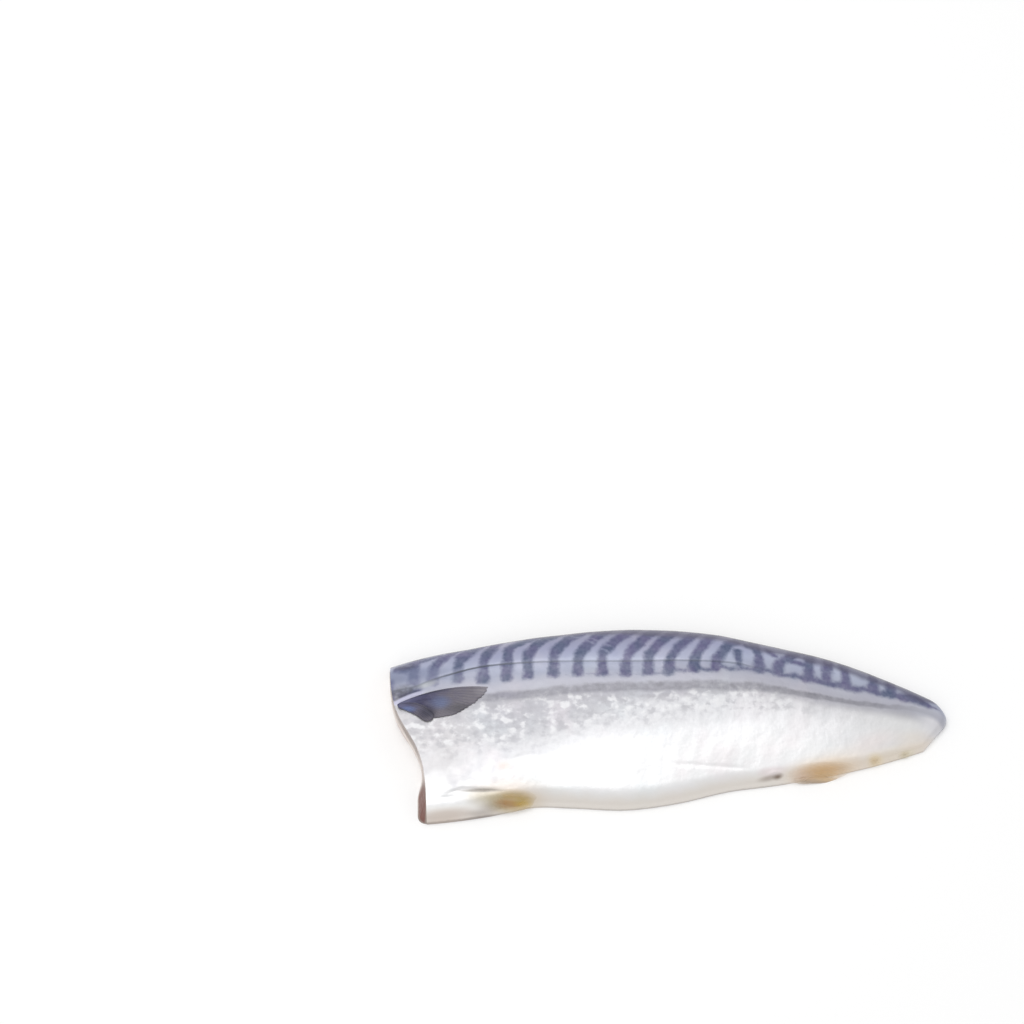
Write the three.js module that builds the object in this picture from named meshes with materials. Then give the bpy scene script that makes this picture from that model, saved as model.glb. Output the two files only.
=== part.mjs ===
// A mackerel fillet with its skin on: the left side of a fish without head or tail, lying skin side up on
// its cut side. Three fins are left on it: the pectoral fin laid back over the flank, the pelvic fin folded
// against the belly flap, and the anal fin lying along the belly edge towards the tail.
// Millimetres, +Z up. X runs from the head cut (-) to the tail (+), Y from the belly edge (-) to the
// back (+), and the flat cut side is on z = 0. The origin is under the middle of the fillet.
import * as THREE from "three";

const { lerp, clamp, smoothstep } = THREE.MathUtils;

// ---------- driving dimensions ----------
const THICKEST = 13.0; // the loin, a third of the way across from the back

// The outline on the board: distances from the middle line, at stations along the length.
const BACK_LINE = [
  [-106, 21.6],
  [-94, 25.8],
  [-68, 31.3],
  [-41, 35.9],
  [-12, 38.2],
  [13, 37.0],
  [40, 31.5],
  [67, 24.3],
  [84, 17.2],
  [98, 10.6],
  [110, 3.4],
];
const BELLY_LINE = [
  [-98, -38.6],
  [-88, -38.1],
  [-66, -35.2],
  [-48, -31.6],
  [-36, -31.9],
  [-14, -32.6],
  [4, -30.0],
  [22, -25.6],
  [40, -23.1],
  [58, -19.7],
  [75, -15.9],
  [94, -10.0],
  [108, -5.0],
];
// The greatest thickness at stations along the length, as shares of THICKEST.
const THICKNESS_LINE = [
  [-106, 0.84],
  [-68, 0.95],
  [-30, 1.0],
  [10, 0.96],
  [50, 0.78],
  [84, 0.53],
  [104, 0.34],
];

// The head cut is an S across the fillet: straight over the loin, then set back along the belly flap.
// Its foot stands out beyond the skin, little at the loin and more at the end of the belly flap.
const HEAD_CUT = { middle: -95.4, halfStep: 7.2, turnsAtY: -5.8, turnLength: 13 };
const HEAD_FOOT = { loin: 0.5, belly: 3.3, from: 0.68, full: 0.87, corner: 0.05 };
// The tail end is a short slanting cut with round corners.
const TAIL_END = { backCorner: 99.6, bellyCorner: 94.6, bulge: 6.35, bulgeAt: 0.45, bulgePower: 0.9 };
const TAIL_ROLL = 3; // length over which the skin rounds down to the board at the tail

// The cross-section, as shares of the local width measured from the back edge.
const BACK_ROLL = 0.23; // width of the rounded back wall
const BELLY_ROLL = 0.1; // width of the rounded belly edge
const ROLL_POWER = 2.25; // 2 is a true ellipse, more is squarer
const LOIN = { crest: 0.3, flap: 0.4 }; // place of the ridge, and thickness left at the belly edge
const TAIL = { crest: 0.43, flap: 0.55, from: 20, full: 95 }; // the same near the tail, and where it changes
const FALL_POWER = 1.5; // how the loin falls away to the belly flap

// A fin is a thin blade, fleshy at its root, between a leading and a trailing edge that meet at the tip. Each
// edge is a Bezier curve, given by its ends and its two pulls on the board.
const FINS = {
  pectoral_fin: {
    leading: [[-99.5, 4.4], [-89, 10], [-77.8, 12.1], [-65.8, 10.9]],
    trailing: [[-99.1, 3.2], [-90, -5.5], [-72.5, -1.5], [-65.8, 10.9]],
    finish: { color: 0x696d86, roughness: 0.35, metalness: 0.1 },
  },
  pelvic_fin: {
    leading: [[-71.6, -29.6], [-65, -24.8], [-52.5, -23.8], [-47.6, -30.1]],
    trailing: [[-71, -31.6], [-64, -35.8], [-54, -36], [-47.6, -30.1]],
    finish: { color: 0xc9ae7c, roughness: 0.4, metalness: 0 },
  },
  anal_fin: {
    leading: [[43, -20.4], [50, -15.6], [63, -14.6], [72.4, -16.9]],
    trailing: [[43.5, -21.9], [52, -23.4], [62, -22.6], [72.4, -16.9]],
    finish: { color: 0xcdb697, roughness: 0.4, metalness: 0 },
  },
};
const FIN_GAP = 0.4; // clear of the skin
const FIN_THICKNESS = { root: 1.4, tip: 0.6 };
const FIN_ROOT_ROLL = 0.15; // share of the fin's length over which its root thickens
const FIN_SHOULDER = 0.25; // share of the belly roll where a fin over the edge leaves the skin

// The skin's own finish: silver, wet and a little metallic.
const SKIN_FINISH = { color: 0xc4c6cf, roughness: 0.3, metalness: 0.25 };

// How finely each surface is divided. Stations are partly bunched towards the two ends.
const SKIN_STATIONS = 74;
const SKIN_POINTS_ACROSS = 36;
const STATION_BUNCHING = 0.6;
const FIN_STATIONS = 22;
const FIN_POINTS_ACROSS = 10;

// ---------- helpers ----------

// A smooth curve through knots [x, y]: each span is a cubic whose end slopes are those of the parabola
// through the knot and its two neighbours.
function through(knots, x) {
  const last = knots.length - 1;
  const span = (i) => (knots[i + 1][1] - knots[i][1]) / (knots[i + 1][0] - knots[i][0]);
  const slope = (i) => {
    if (i === 0) return span(0);
    if (i === last) return span(last - 1);
    const before = knots[i][0] - knots[i - 1][0];
    const after = knots[i + 1][0] - knots[i][0];
    return (span(i - 1) * after + span(i) * before) / (before + after);
  };
  let i = 0;
  while (i < last - 1 && x > knots[i + 1][0]) i++;
  const h = knots[i + 1][0] - knots[i][0];
  const u = clamp((x - knots[i][0]) / h, 0, 1);
  const rise = u * u * (3 - 2 * u);
  return (
    lerp(knots[i][1], knots[i + 1][1], rise) +
    h * (slope(i) * u * (1 - u) ** 2 - slope(i + 1) * u * u * (1 - u))
  );
}

// A quarter of a superellipse: 0 with an upright tangent at 0, and 1 from 1 on.
const roll = (u) => (1 - (1 - clamp(u, 0, 1)) ** ROLL_POWER) ** (1 / ROLL_POWER);

// Points bunched towards both ends of 0..1, where edges are rounded.
const bunched = (i, n) => (1 - Math.cos((Math.PI * i) / n)) / 2;

// ---------- the skin surface ----------

const backEdge = (x) => through(BACK_LINE, x);
const bellyEdge = (x) => through(BELLY_LINE, x);

// Where the head cut crosses the strip t, which is 0 at the back edge and 1 at the belly edge.
function headCut(t) {
  const { middle, halfStep, turnsAtY, turnLength } = HEAD_CUT;
  const y = lerp(backEdge(middle), bellyEdge(middle), t);
  return middle - halfStep * Math.tanh((y - turnsAtY) / turnLength);
}

// Where the tail end crosses the strip t: a slanting line that bulges most at bulgeAt.
function tailEnd(t) {
  const { backCorner, bellyCorner, bulge, bulgeAt, bulgePower } = TAIL_END;
  const skewed = t ** (Math.log(0.5) / Math.log(bulgeAt));
  return lerp(backCorner, bellyCorner, t) + bulge * Math.sin(Math.PI * skewed) ** bulgePower;
}

// The share of the thickness that the skin reaches over strip t at x.
function section(x, t) {
  const towardsTail = smoothstep(x, TAIL.from, TAIL.full);
  const crest = lerp(LOIN.crest, TAIL.crest, towardsTail);
  const flap = lerp(LOIN.flap, TAIL.flap, towardsTail);
  const past = clamp((t - crest) / (1 - crest), 0, 1);
  return (1 - (1 - flap) * past ** FALL_POWER) * roll(t / BACK_ROLL) * roll((1 - t) / BELLY_ROLL);
}

// The height of the skin over strip t at x.
function skinHeight(x, t) {
  const tail = roll((tailEnd(t) - x) / TAIL_ROLL);
  return THICKEST * through(THICKNESS_LINE, x) * section(x, t) * tail;
}

// The skin over strip t at station s, which is 0 at the head cut and 1 at the tail end.
function skinPoint(s, t) {
  const x = lerp(headCut(t), tailEnd(t), s);
  return new THREE.Vector3(x, lerp(backEdge(x), bellyEdge(x), t), skinHeight(x, t));
}

// The strip that the place (x, y) lies on.
const stripAt = (x, y) => (backEdge(x) - y) / (backEdge(x) - bellyEdge(x));

// ---------- the fillet ----------

// A closed mesh from a list of points and a list of triangles.
function geometryOf(points, triangles) {
  const geometry = new THREE.BufferGeometry().setFromPoints(points);
  geometry.setIndex(triangles);
  geometry.computeVertexNormals();
  return geometry;
}

// The skin is a grid of stations by strips. It meets the board along the back edge, the tail end and the
// belly edge. The head cut is a wall from the skin's first station down to its foot on the board, and the
// flat cut side closes the outline.
function filletGeometry() {
  const points = [];
  const triangles = [];
  const quad = (a, b, c, d) => triangles.push(a, b, c, a, c, d);
  const at = (i, j) => i * (SKIN_POINTS_ACROSS + 1) + j;

  for (let i = 0; i <= SKIN_STATIONS; i++) {
    const s = lerp(i / SKIN_STATIONS, bunched(i, SKIN_STATIONS), STATION_BUNCHING);
    for (let j = 0; j <= SKIN_POINTS_ACROSS; j++) points.push(skinPoint(s, bunched(j, SKIN_POINTS_ACROSS)));
  }
  for (let i = 0; i < SKIN_STATIONS; i++)
    for (let j = 0; j < SKIN_POINTS_ACROSS; j++) quad(at(i, j), at(i, j + 1), at(i + 1, j + 1), at(i + 1, j));

  // The foot of the head cut: below the skin's edge, and standing out towards the belly corner.
  const foot = [at(0, 0)];
  for (let j = 1; j < SKIN_POINTS_ACROSS; j++) {
    const t = bunched(j, SKIN_POINTS_ACROSS);
    const out =
      lerp(HEAD_FOOT.loin, HEAD_FOOT.belly, smoothstep(t, HEAD_FOOT.from, HEAD_FOOT.full)) *
      roll(t / HEAD_FOOT.corner) *
      roll((1 - t) / HEAD_FOOT.corner);
    const edge = points[at(0, j)];
    foot.push(points.push(new THREE.Vector3(edge.x - out, edge.y, 0)) - 1);
  }
  foot.push(at(0, SKIN_POINTS_ACROSS));
  for (let j = 0; j < SKIN_POINTS_ACROSS; j++) {
    if (j > 0) triangles.push(at(0, j), foot[j], foot[j + 1]);
    if (j < SKIN_POINTS_ACROSS - 1) triangles.push(at(0, j), foot[j + 1], at(0, j + 1));
  }

  // The cut side, inside the outline on the board.
  const rim = [...foot];
  for (let i = 1; i <= SKIN_STATIONS; i++) rim.push(at(i, SKIN_POINTS_ACROSS));
  for (let j = SKIN_POINTS_ACROSS - 1; j >= 0; j--) rim.push(at(SKIN_STATIONS, j));
  for (let i = SKIN_STATIONS - 1; i > 0; i--) rim.push(at(i, 0));
  const outline = rim.map((k) => new THREE.Vector2(points[k].x, points[k].y));
  for (const [a, b, c] of THREE.ShapeUtils.triangulateShape(outline, []))
    triangles.push(rim[a], rim[c], rim[b]);
  return geometryOf(points, triangles);
}

// ---------- the fins ----------

// Where a tangent to the belly roll, touching at share u of it, comes down to the board; past the edge it is
// below 0.
const tangentFoot = (u) => u - (1 - (1 - u) ** ROLL_POWER) / (1 - u) ** (ROLL_POWER - 1);

// The height at which a fin would touch: on the skin, and past its shoulder straight down to the board.
function restHeight({ x, y }) {
  const t = stripAt(x, y);
  const shoulder = 1 - BELLY_ROLL * FIN_SHOULDER;
  if (t < shoulder) return skinHeight(x, t);
  const foot = 1 - BELLY_ROLL * tangentFoot(FIN_SHOULDER);
  return skinHeight(x, shoulder) * clamp((foot - t) / (foot - shoulder), 0, 1);
}

// Two grids from the root to the tip, one for each face, that share their outline.
function finGeometry({ leading, trailing }) {
  const [front, rear] = [leading, trailing].map(
    (pulls) => new THREE.CubicBezierCurve(...pulls.map(([x, y]) => new THREE.Vector2(x, y))),
  );
  const points = [];
  const triangles = [];
  const faces = { under: [], over: [] };
  for (let i = 0; i < FIN_STATIONS; i++) {
    const along = i / FIN_STATIONS;
    const thickness = lerp(FIN_THICKNESS.root, FIN_THICKNESS.tip, along) * roll(along / FIN_ROOT_ROLL);
    for (let j = 0; j <= FIN_POINTS_ACROSS; j++) {
      const across = bunched(j, FIN_POINTS_ACROSS);
      const spot = front.getPoint(along).lerp(rear.getPoint(along), across);
      const under = new THREE.Vector3(spot.x, spot.y, restHeight(spot) + FIN_GAP);
      const over = under.clone().setZ(under.z + thickness * Math.sqrt(4 * across * (1 - across)));
      const onOutline = i === 0 || j === 0 || j === FIN_POINTS_ACROSS;
      faces.under.push(points.push(under) - 1);
      faces.over.push(onOutline ? points.length - 1 : points.push(over) - 1);
    }
  }
  const end = front.getPoint(1);
  const tip = points.push(new THREE.Vector3(end.x, end.y, restHeight(end) + FIN_GAP)) - 1;

  const at = (i, j) => i * (FIN_POINTS_ACROSS + 1) + j;
  for (let i = 0; i < FIN_STATIONS; i++)
    for (let j = 0; j < FIN_POINTS_ACROSS; j++)
      for (const [face, flip] of [[faces.over, false], [faces.under, true]]) {
        const last = i === FIN_STATIONS - 1;
        const corners = last
          ? [face[at(i, j)], face[at(i, j + 1)], tip]
          : [face[at(i, j)], face[at(i, j + 1)], face[at(i + 1, j + 1)], face[at(i + 1, j)]];
        if (flip) corners.reverse();
        for (let k = 2; k < corners.length; k++) triangles.push(corners[0], corners[k - 1], corners[k]);
      }
  return geometryOf(points, triangles);
}

// ---------- the whole fillet ----------

function piece(name, geometry, finish) {
  const mesh = new THREE.Mesh(geometry, new THREE.MeshStandardMaterial(finish));
  mesh.name = name;
  return mesh;
}

const whole = new THREE.Group();
whole.add(piece("fillet", filletGeometry(), SKIN_FINISH));
for (const [name, fin] of Object.entries(FINS)) whole.add(piece(name, finGeometry(fin), fin.finish));

export default whole;
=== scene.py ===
import bmesh
import bpy
import numpy as np
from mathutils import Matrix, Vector


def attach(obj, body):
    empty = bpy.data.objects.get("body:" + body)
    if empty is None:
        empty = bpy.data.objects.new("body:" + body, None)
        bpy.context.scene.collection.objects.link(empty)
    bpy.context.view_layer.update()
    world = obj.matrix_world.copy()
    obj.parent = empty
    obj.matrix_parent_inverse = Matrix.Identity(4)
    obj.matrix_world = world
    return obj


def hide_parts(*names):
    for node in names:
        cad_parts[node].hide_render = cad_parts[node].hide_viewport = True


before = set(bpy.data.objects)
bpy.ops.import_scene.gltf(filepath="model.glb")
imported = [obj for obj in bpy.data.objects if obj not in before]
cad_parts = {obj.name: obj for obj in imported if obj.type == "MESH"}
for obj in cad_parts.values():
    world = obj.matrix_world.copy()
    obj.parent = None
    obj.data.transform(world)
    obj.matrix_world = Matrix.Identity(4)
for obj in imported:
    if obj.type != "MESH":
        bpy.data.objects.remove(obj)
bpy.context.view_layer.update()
MM = 0.001


# ---------- the flesh ----------
# One side of the fish, cut off the backbone and lying on that cut: pale muscle in folded segments, with a
# thin dark layer under the skin. The head cut shows it as a low wall, and the belly flap is dark at its edge.
THICKEST = 13.0  # the loin, a third of the way across from the back
BACK_LINE = [  # the two edges in plan, as X and Y
    (-106, 21.6), (-94, 25.8), (-68, 31.3), (-41, 35.9), (-12, 38.2), (13, 37.0),
    (40, 31.5), (67, 24.3), (84, 17.2), (98, 10.6), (110, 3.4),
]
BELLY_LINE = [
    (-98, -38.6), (-88, -38.1), (-66, -35.2), (-48, -31.6), (-36, -31.9), (-14, -32.6), (4, -30.0),
    (22, -25.6), (40, -23.1), (58, -19.7), (75, -15.9), (94, -10.0), (108, -5.0),
]
THICKNESS_LINE = [  # along X, as a share of the thickest
    (-106, 0.84), (-68, 0.95), (-30, 1.0), (10, 0.96), (50, 0.78), (84, 0.53), (104, 0.34),
]
HEAD_CUT = dict(middle=-95.4, half_step=7.2, turns_at_y=-5.8, turn_length=13)
HEAD_FOOT = dict(loin=0.5, belly=3.3, start=0.68, full=0.87, corner=0.05)
TAIL_END = dict(back_corner=99.6, belly_corner=94.6, bulge=6.35, bulge_at=0.45, power=0.9)
TAIL_ROLL = 3.0  # the rolled edges: mm at the tail, and shares of the local width at the back and belly
BACK_ROLL = 0.23
BELLY_ROLL = 0.1
ROLL_POWER = 2.25
LOIN = dict(crest=0.3, flap=0.4)  # where the ridge runs across, and the flap's height as a share of it
TAIL = dict(crest=0.43, flap=0.55, start=20, full=95)
FALL_POWER = 1.5
SKIN_THICKNESS = 0.35
FLESH_IN_SKIN = 0.6  # how deep in the skin the flesh starts, as a share of its thickness
FOOT_FADE = 12  # how fast the foot of the head cut dies away along the fish, as a power
HOLLOWS = dict(depth=0.09, size=17)
FLAKES = dict(depth=0.25, size=9)
FLESH_GRID = (250, 80, 12)  # along, across, and down the head cut
WELD = 0.002
SHARP_EDGE = 50  # degrees
NO_LENGTH = 1e-9  # keeps a division by a length of 0 finite


def mix(a, b, share):
    """a at share 0, b at share 1."""
    return a + (b - a) * share


def ease(x, start, full):
    """0 up to start, 1 from full on, with a smooth cubic between. start may be above full."""
    u = np.clip((x - start) / (full - start), 0, 1)
    return u * u * (3 - 2 * u)


def bell(x, width):
    """A bell curve: 1 at 0, and down to 0.37 a width away."""
    return np.exp(-((x / width) ** 2))


def through(knots, x):
    """A smooth curve through the knots: each span is a cubic whose end slopes are those of the parabola
    through the knot and its two neighbours."""
    at, value = np.array(knots, float).T
    gap = np.diff(at)
    rise = np.diff(value) / gap
    inner = (rise[:-1] * gap[1:] + rise[1:] * gap[:-1]) / (gap[:-1] + gap[1:])
    slope = np.concatenate([rise[:1], inner, rise[-1:]])
    i = np.clip(np.searchsorted(at, x) - 1, 0, len(gap) - 1)
    u = np.clip((x - at[i]) / gap[i], 0, 1)
    bend = slope[i] * u * (1 - u) ** 2 - slope[i + 1] * u * u * (1 - u)
    return mix(value[i], value[i + 1], u * u * (3 - 2 * u)) + gap[i] * bend


def roll(u):
    """A quarter of a superellipse: 0 with an upright tangent at 0, and 1 from 1 on."""
    return (1 - (1 - np.clip(u, 0, 1)) ** ROLL_POWER) ** (1 / ROLL_POWER)


def steps(count, bunching):
    """count + 1 numbers from 0 to 1: evenly spaced at bunching 0, cosine-spaced, closer at the ends, at 1."""
    even = np.linspace(0, 1, count + 1)
    return mix(even, (1 - np.cos(np.pi * even)) / 2, bunching)


def head_cut(t):
    """Where the head cut crosses strip t, 0 at the back edge and 1 at the belly edge: a tanh step along Y."""
    middle = HEAD_CUT["middle"]
    y = mix(through(BACK_LINE, middle), through(BELLY_LINE, middle), t)
    return middle - HEAD_CUT["half_step"] * np.tanh((y - HEAD_CUT["turns_at_y"]) / HEAD_CUT["turn_length"])


def head_foot(t):
    """How far the foot of the head cut stands out beyond the skin over strip t: little at the loin, more at
    the end of the belly flap, and nothing at the two corners."""
    out = mix(HEAD_FOOT["loin"], HEAD_FOOT["belly"], ease(t, HEAD_FOOT["start"], HEAD_FOOT["full"]))
    return out * roll(t / HEAD_FOOT["corner"]) * roll((1 - t) / HEAD_FOOT["corner"])


def tail_end(t):
    """Where the tail end crosses strip t: a slanting line plus a bulge, a power of a skewed half sine."""
    skewed = np.clip(t ** (np.log(0.5) / np.log(TAIL_END["bulge_at"])), 0, 1)
    bulge = TAIL_END["bulge"] * np.sin(np.pi * skewed) ** TAIL_END["power"]
    return mix(TAIL_END["back_corner"], TAIL_END["belly_corner"], t) + bulge


def skin_height(x, t):
    """The thickness line times the section: a ridge that falls to the flap, with rolled edges and tail."""
    towards_tail = ease(x, TAIL["start"], TAIL["full"])
    crest = mix(LOIN["crest"], TAIL["crest"], towards_tail)
    flap = mix(LOIN["flap"], TAIL["flap"], towards_tail)
    past = np.clip((t - crest) / (1 - crest), 0, 1)
    edges = roll(t / BACK_ROLL) * roll((1 - t) / BELLY_ROLL) * roll((tail_end(t) - x) / TAIL_ROLL)
    return THICKEST * through(THICKNESS_LINE, x) * (1 - (1 - flap) * past**FALL_POWER) * edges


def skin_form(along, across):
    """The skin side as points over stations from head cut to tail end, by strips from back to belly."""
    s, t = np.meshgrid(along, across, indexing="ij")
    x = mix(head_cut(t), tail_end(t), s)
    y = mix(through(BACK_LINE, x), through(BELLY_LINE, x), t)
    return np.stack([x, y, skin_height(x, t)], axis=-1)


def moved_out(form, distance):
    """The form moved along its own normals, out or, below 0, in. It stays above the table, and what lay on
    the table stays on it."""
    normal = np.cross(np.gradient(form, axis=1), np.gradient(form, axis=0))
    normal /= np.linalg.norm(normal, axis=-1, keepdims=True) + NO_LENGTH
    moved = form + np.asarray(distance)[..., None] * normal
    moved[..., 2] = np.where(form[..., 2] > 0, np.maximum(moved[..., 2], 0), 0)
    return moved


def waves(x, y, size, seed, octaves=3):
    """Smooth unevenness between about -1 and 1: crossing sine waves, each octave half as long and high."""
    rng = np.random.default_rng(seed)
    total = 0
    for octave in range(octaves):
        for turn, phase in rng.uniform(0, 2 * np.pi, (4, 2)):
            path = (x * np.cos(turn) + y * np.sin(turn)) * 2 * np.pi * 2**octave / size
            total = total + 0.5**octave * np.sin(path + phase)
    return total / 4


def across_from_back(form):
    """How far each point lies from the back edge, in mm over the surface, along its station."""
    step = np.linalg.norm(np.diff(form, axis=1), axis=-1)
    return np.pad(np.cumsum(step, axis=1), ((0, 0), (1, 0)))


def above(form, line):
    """How far each point lies above a line drawn in plan, in mm over the surface: the distance from the back
    edge at which its station crosses the line, less its own."""
    down = across_from_back(form)
    below = through(line, form[..., 0]) - form[..., 1]
    after = np.maximum(np.argmax(below > 0, axis=1), 1)[:, None]
    b0, b1, d0, d1 = (np.take_along_axis(v, i, 1) for v in (below, down) for i in (after - 1, after))
    return mix(d0, d1, b0 / (b0 - b1)) - down


def with_fields(form, *fields):
    """The points with further channels beside x, y and z."""
    return np.concatenate([form, *(np.broadcast_to(f, form.shape[:2])[..., None] for f in fields)], axis=-1)


def piece(name, sheets, fields=()):
    """A closed mesh object welded from sheets of points: x, y and z in mm over rows and columns, and one more
    channel for each vertex attribute that fields names."""
    points = np.concatenate([sheet.reshape(-1, 3 + len(fields)) for sheet in sheets])
    quads, start = [], 0
    for rows, columns in (sheet.shape[:2] for sheet in sheets):
        corner = start + (np.arange(rows - 1)[:, None] * columns + np.arange(columns - 1)).ravel()
        quads.append(np.stack([corner, corner + 1, corner + columns + 1, corner + columns], axis=-1))
        start += rows * columns
    quads = np.concatenate(quads)
    mesh = bpy.data.meshes.new(name)
    mesh.vertices.add(len(points))
    mesh.vertices.foreach_set("co", (points[:, :3] * MM).astype(np.float32).ravel())
    mesh.loops.add(quads.size)
    mesh.loops.foreach_set("vertex_index", quads.astype(np.int32).ravel())
    mesh.polygons.add(len(quads))
    mesh.polygons.foreach_set("loop_start", np.arange(0, quads.size, 4, dtype=np.int32))
    for channel, field in enumerate(fields, 3):
        attribute = mesh.attributes.new(field, "FLOAT", "POINT")
        attribute.data.foreach_set("value", points[:, channel].astype(np.float32))
    mesh.update(calc_edges=True)
    welded = bmesh.new()
    welded.from_mesh(mesh)
    bmesh.ops.remove_doubles(welded, verts=welded.verts, dist=WELD * MM)
    bmesh.ops.recalc_face_normals(welded, faces=welded.faces)
    welded.to_mesh(mesh)
    welded.free()
    mesh.polygons.foreach_set("use_smooth", np.ones(len(mesh.polygons), bool))
    mesh.set_sharp_from_angle(angle=np.radians(SHARP_EDGE))
    made = bpy.data.objects.new(name, mesh)
    bpy.context.scene.collection.objects.link(made)
    return made


class Socket:
    """A number, vector or colour of a material. Arithmetic on numbers adds Math nodes."""

    def __init__(self, paint, out):
        self.paint = paint
        self.out = out

    def math(self, operation, *values):
        return self.paint.node("Math", dict(operation=operation), dict(enumerate(values)))

    def __add__(self, other):
        return self.math("ADD", self, other)

    def __sub__(self, other):
        return self.math("SUBTRACT", self, other)

    def __rsub__(self, other):
        return self.math("SUBTRACT", other, self)

    def __mul__(self, other):
        return self.math("MULTIPLY", self, other)

    def __truediv__(self, other):
        return self.math("DIVIDE", self, other)

    def __abs__(self):
        return self.math("ABSOLUTE", self)

    __radd__ = __add__
    __rmul__ = __mul__

    def ease(self, start, full):
        """0 up to start, 1 from full on, smooth between. start may be above full."""
        low, high, at_low, at_high = (start, full, 0.0, 1.0) if start < full else (full, start, 1.0, 0.0)
        kind = dict(interpolation_type="SMOOTHSTEP", clamp=True)
        return self.paint.node("MapRange", kind, {0: self, 1: low, 2: high, 3: at_low, 4: at_high})


class Paint:
    """A material made of nodes. node() adds any node and gives one of its outputs as a Socket."""

    def __init__(self, name):
        self.material = bpy.data.materials.new(name)
        self.material.use_nodes = True
        self.tree = self.material.node_tree
        self.tree.nodes.clear()
        self.place = self.vector("SCALE", self.node("TexCoord", output="Object"), Scale=1 / MM)
        self.x, self.z = (self.node("SeparateXYZ", {}, {0: self.place}, axis) for axis in "XZ")

    def node(self, kind, settings=None, sockets=None, output=0):
        """A node of a kind: its settings first, a ramp's stops among them, then its sockets, each a value or
        a link."""
        made = self.tree.nodes.new("ShaderNode" + kind)
        for key, value in (settings or {}).items():
            if key == "stops":
                for stop, (position, colour) in enumerate(value):
                    entries = made.color_ramp.elements
                    entry = entries[stop] if stop < 2 else entries.new(position)
                    entry.position, entry.color = position, colour
            else:
                setattr(made, key, value)
        for key, value in (sockets or {}).items():
            if isinstance(value, Socket):
                self.tree.links.new(value.out, made.inputs[key])
            else:
                made.inputs[key].default_value = value
        return Socket(self, made.outputs[output]) if len(made.outputs) else made

    def field(self, name):
        """A vertex attribute of the mesh."""
        return self.node("Attribute", dict(attribute_name=name), output="Fac")

    def vector(self, operation, *vectors, **named):
        """Vector Math, as a vector, or as a number where the operation gives one."""
        output = 1 if operation in ("LENGTH", "DISTANCE", "DOT_PRODUCT") else 0
        sockets = {**dict(enumerate(vectors)), **named}
        return self.node("VectorMath", dict(operation=operation), sockets, output)

    def blend(self, share, a, b):
        """Colour a at share 0, b at share 1."""
        return self.node("Mix", dict(data_type="RGBA"), {0: share, 6: a, 7: b}, 2)

    def noise(self, size, detail=2.0, at=None):
        """Noise around 0, from about -1 to 1, with features of a size in mm, or one for each axis."""
        sizes = size if isinstance(size, tuple) else (size,) * 3
        place = self.vector("DIVIDE", at or self.place, sizes)
        return self.node("TexNoise", {}, {"Vector": place, "Scale": 1.0, "Detail": detail}) * 4 - 2

    def spot(self, centre, size, turn=0.0, hard=0.2):
        """A soft oval spot in plan, turned by an angle: 1 out to the share hard of its size, 0 from 1 on."""
        kind = dict(rotation_type="Z_AXIS")
        middle = (*centre, 0)
        turned = self.node("VectorRotate", kind, {"Vector": self.place, "Center": middle, "Angle": -turn})
        off = self.vector("SUBTRACT", turned, middle)
        flat = self.vector("MULTIPLY", off, (1 / size[0], 1 / size[1], 0))
        return self.vector("LENGTH", flat).ease(1.0, hard)

    def bump(self, height, depth):
        """A relief of a depth in mm where height goes from 0 to 1."""
        return self.node("Bump", {}, {"Height": height, "Distance": depth * MM, "Strength": 1.0})

    def finish(self, **sockets):
        """Joins values and links to a Principled surface. Underscores stand for the spaces in their names."""
        named = {key.replace("_", " "): value for key, value in sockets.items()}
        surface = self.node("BsdfPrincipled", {}, named)
        self.node("OutputMaterial", {}, {"Surface": surface})
        return self.material


def tone(red, green, blue):
    """A colour as it is seen on a screen, 0 to 255, made linear."""
    seen = np.array([red, green, blue]) / 255
    linear = np.where(seen > 0.04045, ((seen + 0.055) / 1.055) ** 2.4, seen / 12.92)
    return (*(float(v) for v in linear), 1.0)


SEGMENT = 6.5  # one fold of muscle along the fish
BONE_SPACING = 3.2
MIDLINE = 0.42  # the dark muscle of the cut side, and the bones below it, as shares of the way across
BONE_LINE = 0.55
RELIEF = dict(dents=0.13, ripples=0.015, folds=0.012, groove=0.12)
FOOT_LINE = [  # where the bars on the back end
    (-106, 11.4), (-93, 11.9), (-77, 12.5), (-67, 12.4), (-51, 14.1), (-32, 15.1), (-7, 15.3), (10, 16.7),
    (27, 17.6), (40, 16.2), (52, 14.0), (66, 11.5), (83, 9.0), (94, 6.9), (98, 5.3), (102, 2.7), (106, -1.0),
]
LATERAL_LINE = [
    (-106, 9.4), (-98, 10.4), (-94, 11.3), (-87, 14.0), (-79.4, 16.5), (-69, 19.2), (-61.7, 20.1),
    (-50.5, 20.8), (-10, 21.3), (5, 21.6), (20, 21.4), (27.3, 20.7), (35, 18.8),
]
FOLD_LINES = [  # soft creases in the skin: how deep, how wide, and their line in plan
    (0.14, 0.8, [(-60.0, -17.2), (-54.3, -15.2), (-47.1, -13.8)]),
    (0.14, 0.7, [(-3.1, -17.3), (11.6, -17.8), (26.3, -18.5), (33.6, -19.1)]),
    (0.35, 0.7, [(-83.4, -29.9), (-76.2, -27.3), (-68.9, -27.3), (-59.8, -27.4)]),
    (0.12, 1.2, [(-98.3, -1.4), (-91, -8.6), (-83.5, -16.4)]),
    (-0.45, 0.9, [(-101.7, 4.9), (-95.5, 7.6), (-89.3, 9.9)]),
]
VENT = dict(centre=(40.2, -21.0), size=(2.4, 1.1), depth=0.4)


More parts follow.
